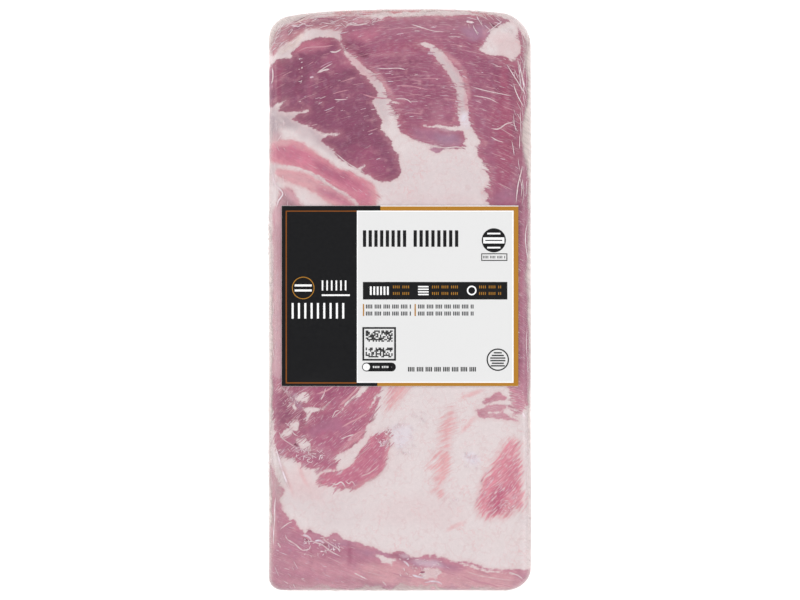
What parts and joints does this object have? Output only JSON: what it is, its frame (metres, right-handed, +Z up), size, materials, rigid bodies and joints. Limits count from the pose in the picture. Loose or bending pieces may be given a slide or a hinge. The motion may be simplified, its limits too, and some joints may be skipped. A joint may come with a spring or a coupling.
{
  "type": "vacuum-packed pork belly slab",
  "caption": "Whole flat slab of raw pork belly, lean face up, shrunk tight in a clear vacuum bag, with a wide printed label across its middle.",
  "frame": {"origin": "middle of the flat resting face, under the middle of the slab", "axes": "+Z up out of the lean face, +Y along the slab towards its shoulder end, +X to the right as the label is read"},
  "size_m": [0.262, 0.5808, 0.0422],
  "materials": {
    "meat_in_film": "raw lean and fat under clear shrunk film, wet gloss",
    "printed_label": "satin coated paper with dark, pale grey and gold fields"
  },
  "bodies": {
    "root": {"bagged_slab": "meat_in_film", "label": "printed_label"}
  },
  "joints": []
}
